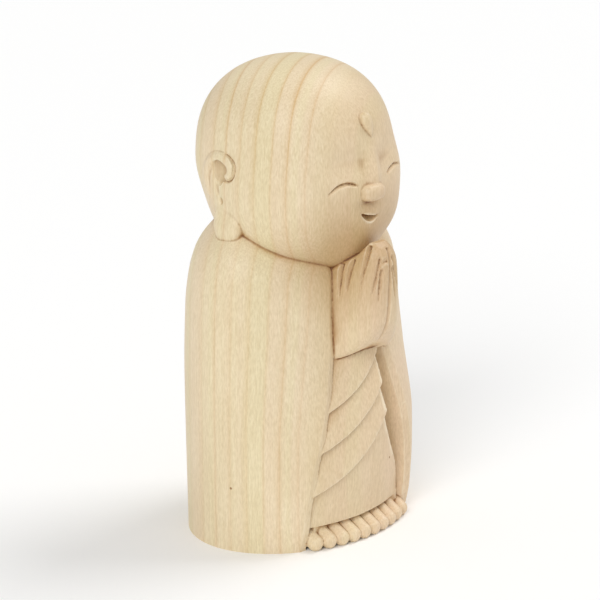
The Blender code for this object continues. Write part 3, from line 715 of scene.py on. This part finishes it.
def ear(surface, side):
    """The rim and long lobe of one ear. The rim stands equally proud of the head all along."""
    rim = []
    for number, spot in enumerate(EAR_RIM):
        radius = blended_size(EAR_RIM_RADII, number / (len(EAR_RIM) - 1))
        point, normal = seat(surface, spot, side)
        rim.append(point + normal * (EAR_RIM_PROUD - radius) * UNIT)

    def put(s, t):
        up = EAR_LOBE[0][0] + (EAR_LOBE[-1][0] - EAR_LOBE[0][0]) * eased(t)
        back = along([(row[0], row[1]) for row in EAR_LOBE], up)
        front = along([(row[0], row[2]) for row in EAR_LOBE], up)
        out = along([(row[0], row[3]) for row in EAR_LOBE], up)
        half_out = LOBE_THICKNESS / 2
        across, forward = superellipse(2 * math.pi * s, half_out, (front - back) / 2, LOBE_POWER)
        return place(side * (out - half_out + across), (front + back) / 2 + forward, up)

    return [form("ear_rim", roll(rim, EAR_RIM_RADII, *EAR_RIM_COUNTS)),
            form("ear_lobe", lattice(*LOBE_COUNTS, put))]


def ear_hollow(surface, side):
    """The bowl inside the rim and the channel below it."""
    path = []
    for forward, up in EAR_CHANNEL:
        point, normal = seat(surface, (forward, up), side)
        path.append(point + normal * EAR_CHANNEL_PROUD * UNIT)
    made = [form("ear_channel", roll(path, EAR_CHANNEL_RADII, *EAR_CHANNEL_COUNTS)),
            form("ear_crease", gouge(surface, EAR_CREASE, side, EAR_CREASE_CUT, CUT_COUNT))]
    for spot, radii, counts in EAR_BOWLS:
        point, _ = seat(surface, spot, side)
        made.append(form("ear_bowl", bead(in_units(point), radii, counts)))
    return made


def urna(surface):
    """The drop on the forehead, drawn to a point at its lower end."""
    path = []
    for across, up in URNA_LINE:
        point, normal = seat(surface, (across, up), "front")
        path.append(point + normal * URNA_PROUD * UNIT)
    return form("urna", roll(path, URNA_RADII, *URNA_COUNTS))


def rough_carving():
    """Every form joined to the cloak and every cut made, as one object, with its helpers."""
    figure = form("jizo", cloak(*CLOAK_COUNTS))
    skull = form("head", head(*HEAD_COUNTS))
    prow = form("hands", hands(*HANDS_COUNTS))
    skull_surface = surface_of(skull)
    prow_surface = surface_of(prow)
    added = [form("robe", robe(*ROBE_COUNTS)), form("sole", sole()), prow, skull]
    for number in range(TOE_COUNT):
        added.append(form("toe", toe(number, *TOE_COUNTS)))
    added.append(form("nose", bead(NOSE_CENTRE, NOSE_RADII, NOSE_COUNTS, NOSE_POWER)))
    added.append(urna(skull_surface))
    cuts = []
    for side in (-1, 1):
        added += ear(skull_surface, side)
        cuts += ear_hollow(skull_surface, side)
        for line in FINGER_LINES:
            cuts.append(form("finger", gouge(prow_surface, line, side, FINGER_CUT, CUT_COUNT)))
        for line in FRONT_FINGER_LINES:
            spots = [(side * across, up) for across, up in line]
            gap = gouge(prow_surface, spots, "front", FRONT_FINGER_CUT, CUT_COUNT)
            cuts.append(form("finger", gap))
    for surface, line, cut in (
        (skull_surface, RIGHT_EYE_LINE, EYE_CUT), (skull_surface, LEFT_EYE_LINE, EYE_CUT),
        (skull_surface, MOUTH_LINE, MOUTH_CUT), (prow_surface, PALM_LINE, PALM_CUT),
        (prow_surface, TIP_LINE, TIP_CUT),
    ):
        cuts.append(form("cut", gouge(surface, line, "front", cut, CUT_COUNT)))
    join(figure, added, "UNION")
    join(figure, cuts, "DIFFERENCE")
    return figure, added + cuts


def baked(thing):
    """The thing's mesh with its modifiers applied."""
    return bpy.data.meshes.new_from_object(thing.evaluated_get(updated_view()))


def swap_mesh(thing, data):
    """Gives the thing a new mesh, with no modifiers left on it."""
    old = thing.data
    thing.modifiers.clear()
    thing.data = data
    bpy.data.meshes.remove(old)


def blend_lobes(data):
    """Eases the crease between each ear's lobe and the cheek in front of it."""
    mesh = bmesh.new()
    mesh.from_mesh(data)
    lowest, highest = LOBE_BLEND
    near_lobe = []
    for vert in mesh.verts:
        across, forward, up = in_units(vert.co)
        spot = (abs(across), forward, up)
        if all(low < value < high for low, value, high in zip(lowest, spot, highest)):
            near_lobe.append(vert)
    for _ in range(LOBE_BLEND_PASSES):
        bmesh.ops.smooth_vert(mesh, verts=near_lobe, factor=EASING,
                              use_axis_x=True, use_axis_y=True, use_axis_z=True)
    mesh.to_mesh(data)
    mesh.free()


def cut_level(data):
    """Cuts the mesh off at the ground and closes it there."""
    mesh = bmesh.new()
    mesh.from_mesh(data)
    bmesh.ops.bisect_plane(mesh, geom=mesh.verts[:] + mesh.edges[:] + mesh.faces[:],
                           plane_co=(0, 0, 0), plane_no=(0, 0, -1), clear_outer=True)
    rim = [edge for edge in mesh.edges if edge.is_boundary]
    bmesh.ops.triangle_fill(mesh, use_beauty=True, use_dissolve=False, edges=rim)
    bmesh.ops.recalc_face_normals(mesh, faces=mesh.faces)
    mesh.to_mesh(data)
    mesh.free()


def measure_bends(data):
    """Stores how far each point lies below softened copies of the surface.

    The values are in units, over 0 in creases and hollows and under 0 on edges.
    """
    count = len(data.vertices)
    points = np.empty(count * 3)
    data.vertices.foreach_get("co", points)
    points = points.reshape(-1, 3)
    normals = np.empty(count * 3)
    data.vertices.foreach_get("normal", normals)
    normals = normals.reshape(-1, 3)
    ends = np.empty(len(data.edges) * 2, dtype=np.int32)
    data.edges.foreach_get("vertices", ends)
    starts = np.concatenate((ends[0::2], ends[1::2]))
    stops = np.concatenate((ends[1::2], ends[0::2]))
    neighbours = np.bincount(starts, minlength=count)
    soft = points.copy()
    done = 0
    for name, passes in SOFTENING_PASSES:
        for _ in range(passes - done):
            for axis in range(3):
                around = np.bincount(starts, weights=soft[stops, axis], minlength=count)
                soft[:, axis] = (soft[:, axis] + around / neighbours) / 2
        done = passes
        below = ((soft - points) * normals).sum(axis=1) / UNIT
        data.attributes.new(name, "FLOAT", "POINT").data.foreach_set("value", below)


def finished_carving():
    """The carving as one skin with eased edges, cut flat underneath."""
    figure, helpers = rough_carving()
    swap_mesh(figure, baked(figure))
    for helper in helpers:
        bpy.data.objects.remove(helper)
    skin = figure.modifiers.new("skin", "REMESH")
    skin.mode = "VOXEL"
    skin.voxel_size = SKIN_GRID * UNIT
    ease = figure.modifiers.new("ease", "SMOOTH")
    ease.factor = EASING
    ease.iterations = EDGE_PASSES
    swap_mesh(figure, baked(figure))
    triangles = 2 * len(figure.data.polygons)
    if triangles > MOST_TRIANGLES:
        thin = figure.modifiers.new("thin", "DECIMATE")
        thin.ratio = MOST_TRIANGLES / triangles
        swap_mesh(figure, baked(figure))
    blend_lobes(figure.data)
    measure_bends(figure.data)
    cut_level(figure.data)
    figure.data.materials.clear()
    figure.data.shade_smooth()
    figure.data.set_sharp_from_angle(angle=SHARP_ANGLE)
    return figure


def add(tree, kind, sockets, **settings):
    """A shader node with its settings made, and each named socket given a value or a link."""
    made = tree.nodes.new(kind)
    for name, value in settings.items():
        setattr(made, name, value)
    for name, value in sockets.items():
        if isinstance(value, bpy.types.NodeSocket):
            tree.links.new(value, made.inputs[name])
        else:
            made.inputs[name].default_value = value
    return made


def sum_of(tree, first, factor, last):
    """first times factor, plus last."""
    return add(tree, "ShaderNodeMath", {0: first, 1: factor, 2: last},
               operation="MULTIPLY_ADD").outputs[0]


def ramp(tree, value, stops):
    """Reads (position, grey) stops."""
    made = add(tree, "ShaderNodeValToRGB", {"Fac": value})
    points = made.color_ramp.elements
    while len(points) < len(stops):
        points.new(0.5)
    for point, (position, grey) in zip(points, stops):
        point.position = position
        point.color = (grey, grey, grey, 1)
    return made.outputs["Color"]


def blend(tree, share, first, second, kind="MIX"):
    """Mixes two colours."""
    return add(tree, "ShaderNodeMix", {0: share, 6: first, 7: second},
               data_type="RGBA", blend_type=kind).outputs[2]


def grain(tree, spot, stretch, scale, detail):
    """Noise drawn out by a stretch along each axis, as fibres are along the trunk."""
    mapped = add(tree, "ShaderNodeMapping", {"Vector": spot, "Scale": stretch})
    return add(tree, "ShaderNodeTexNoise",
               {"Vector": mapped.outputs[0], "Scale": scale, "Detail": detail}).outputs["Fac"]


def layer_noise(tree, layer, scale, detail):
    """Noise that changes from one growth layer to the next."""
    return add(tree, "ShaderNodeTexNoise", {"W": layer, "Scale": scale, "Detail": detail},
               noise_dimensions="1D").outputs["Fac"]


def distance_along(tree, spot, direction):
    """A spot's distance along a direction, times the length of the direction."""
    return add(tree, "ShaderNodeVectorMath", {0: spot, 1: direction},
               operation="DOT_PRODUCT").outputs["Value"]


def share_between(tree, value, ends, results=(0.0, 1.0)):
    """Runs from the first result to the second while a value goes from one end to the other."""
    return add(tree, "ShaderNodeMapRange",
               {"Value": value, "From Min": ends[0], "From Max": ends[1],
                "To Min": results[0], "To Max": results[1]}).outputs[0]


def stored_share(tree, name, full):
    """A value that the mesh stores, as a share of its full size."""
    value = add(tree, "ShaderNodeAttribute", {}, attribute_name=name).outputs["Fac"]
    return sum_of(tree, value, 1 / full, 0.0)


def chin_shade_distance(tree, spot):
    """How far a spot lies from the chin, where 1 is the reach of the painted shade there."""
    scale = Vector([1 / reached for reached in CHIN_SHADE_REACH])
    shift = Vector([-CHIN_PLACE[i] * scale[i] for i in range(3)])
    from_chin = add(tree, "ShaderNodeVectorMath", {0: spot, 1: scale, 2: shift},
                    operation="MULTIPLY_ADD").outputs["Vector"]
    return add(tree, "ShaderNodeVectorMath", {0: from_chin}, operation="LENGTH").outputs["Value"]


def growth(tree, spot):
    """A spot's place among the growth layers, how strong the line is there, and how near the front."""
    depth = distance_along(tree, spot, LAYER_NORMAL / LAYER_THICKNESS)
    layer = sum_of(tree, grain(tree, spot, *SWAY_GRAIN), LAYER_SWAY,
                   sum_of(tree, depth, 1.0, LAYER_START))
    layer = sum_of(tree, layer_noise(tree, layer, *UNEVEN_NOISE), LAYER_UNEVENNESS, layer)
    ring = add(tree, "ShaderNodeMath", {0: layer}, operation="FRACT").outputs[0]
    height = distance_along(tree, spot, Vector((0, 0, 1)))
    line = ramp(tree, ring, LAYER_LINE)
    for strength in (
        share_between(tree, depth, LAYER_FADE, (1.0, LEAST_LINE)),
        share_between(tree, height, CROWN_RISE, (BODY_LINE, 1.0)),
        ramp(tree, layer_noise(tree, layer, *WEIGHT_NOISE), LINE_WEIGHTS),
    ):
        line = sum_of(tree, line, strength, 0.0)
    return layer, line, share_between(tree, depth, LAYER_FADE)


def wood():
    """Pale satin wood, with its growth layers lying nearly level with the figure's front."""
    material = bpy.data.materials.new("carved_wood")
    material.use_nodes = True
    tree = material.node_tree
    shader = tree.nodes["Principled BSDF"]
    spot = add(tree, "ShaderNodeTexCoord", {}).outputs["Object"]
    layer, line, front = growth(tree, spot)
    patch = grain(tree, spot, *PATCH_GRAIN)
    fibre = grain(tree, spot, *FIBRE_GRAIN)
    fleck = grain(tree, spot, *FLECK_GRAIN)
    band = ramp(tree, layer_noise(tree, layer, *BAND_NOISE), BAND_STOPS)
    colour = blend(tree, band, YELLOW_WOOD, PINK_WOOD)
    for share, tone in (
        (ramp(tree, patch, PATCH_STOPS), PATCH_TONE),
        (front, FRONT_TONE),
        # Painted shade under the chin and on the jaw.
        (ramp(tree, chin_shade_distance(tree, spot), CHIN_SHADE_STOPS), PAINTED_CHIN_SHADE),
        (line, LINE_TONE),
        (ramp(tree, fibre, FIBRE_STOPS), FIBRE_TONE),
        (ramp(tree, fleck, FLECK_STOPS), FLECK_TONE),
        # Painted shade in broad hollows and in creases.
        (ramp(tree, stored_share(tree, "hollow", HOLLOW_DEPTH), HOLLOW_STOPS), PAINTED_HOLLOW_SHADE),
        (ramp(tree, stored_share(tree, "bend", CREASE_DEPTH), CREASE_STOPS), PAINTED_CREASE_SHADE),
    ):
        colour = blend(tree, share, colour, tone, "MULTIPLY")
    # Painted highlight along convex edges.
    edge = ramp(tree, stored_share(tree, "bend", -EDGE_HEIGHT), EDGE_STOPS)
    colour = blend(tree, edge, colour, PAINTED_EDGE_HIGHLIGHT)
    cells = add(tree, "ShaderNodeTexVoronoi", {"Vector": spot, "Scale": SPECK_SPREAD})
    speck = ramp(tree, cells.outputs["Distance"], SPECK_STOPS)
    colour = blend(tree, speck, colour, SPECK_TONE, "MULTIPLY")
    relief = sum_of(tree, fibre, FIBRE_RELIEF, fleck)
    bump = add(tree, "ShaderNodeBump",
               {"Strength": BUMP_STRENGTH, "Distance": BUMP_DEPTH, "Height": relief})
    gloss = sum_of(tree, fleck, ROUGHNESS_SPREAD, ROUGHNESS - ROUGHNESS_SPREAD / 2)
    tree.links.new(colour, shader.inputs["Base Color"])
    tree.links.new(gloss, shader.inputs["Roughness"])
    tree.links.new(bump.outputs["Normal"], shader.inputs["Normal"])
    return material


def floor():
    """A plain pale floor."""
    mesh = bmesh.new()
    bmesh.ops.create_grid(mesh, x_segments=1, y_segments=1, size=FLOOR_HALF_SIZE)
    data = bpy.data.meshes.new("floor")
    mesh.to_mesh(data)
    mesh.free()
    thing = bpy.data.objects.new("floor", data)
    bpy.context.scene.collection.objects.link(thing)
    material = bpy.data.materials.new("pale_floor")
    material.use_nodes = True
    shader = material.node_tree.nodes["Principled BSDF"]
    shader.inputs["Base Color"].default_value = FLOOR_TONE
    shader.inputs["Roughness"].default_value = FLOOR_ROUGHNESS
    data.materials.append(material)


def camera():
    """The camera, at the photograph's angle."""
    level = math.cos(VIEW_ELEVATION)
    back = Vector((math.sin(VIEW_AZIMUTH) * level,
                   -math.cos(VIEW_AZIMUTH) * level,
                   math.sin(VIEW_ELEVATION)))
    right = Vector((math.cos(VIEW_AZIMUTH), math.sin(VIEW_AZIMUTH), 0))
    up = back.cross(right)
    data = bpy.data.cameras.new("camera")
    data.sensor_width = SENSOR
    data.lens = LENS
    thing = bpy.data.objects.new("camera", data)
    bpy.context.scene.collection.objects.link(thing)
    turn = Matrix((right, up, back)).transposed().to_4x4()
    thing.matrix_world = Matrix.Translation(place(*VIEW_TARGET) + back * VIEW_DISTANCE * UNIT) @ turn
    bpy.context.scene.camera = thing


def lamp(name, source, energy):
    """A broad soft light that comes from a direction."""
    data = bpy.data.lights.new(name, "SUN")
    data.energy = energy
    data.angle = LAMP_ANGLE
    thing = bpy.data.objects.new(name, data)
    bpy.context.scene.collection.objects.link(thing)
    thing.rotation_euler = Vector(source).to_track_quat("Z", "Y").to_euler()


def studio():
    """Plain soft light from all round, strongest from above."""
    scene = bpy.context.scene
    scene.view_settings.view_transform = "Standard"
    world = bpy.data.worlds.new("studio")
    world.use_nodes = True
    sky = world.node_tree.nodes["Background"]
    sky.inputs["Color"].default_value = (1, 1, 1, 1)
    sky.inputs["Strength"].default_value = WORLD_STRENGTH
    scene.world = world
    lamp("key", KEY_SOURCE, KEY_ENERGY)
    lamp("top", TOP_SOURCE, TOP_ENERGY)


camera()
jizo = finished_carving()
jizo.data.materials.append(wood())
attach(jizo, "root")
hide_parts("jizo_figure")
floor()
studio()
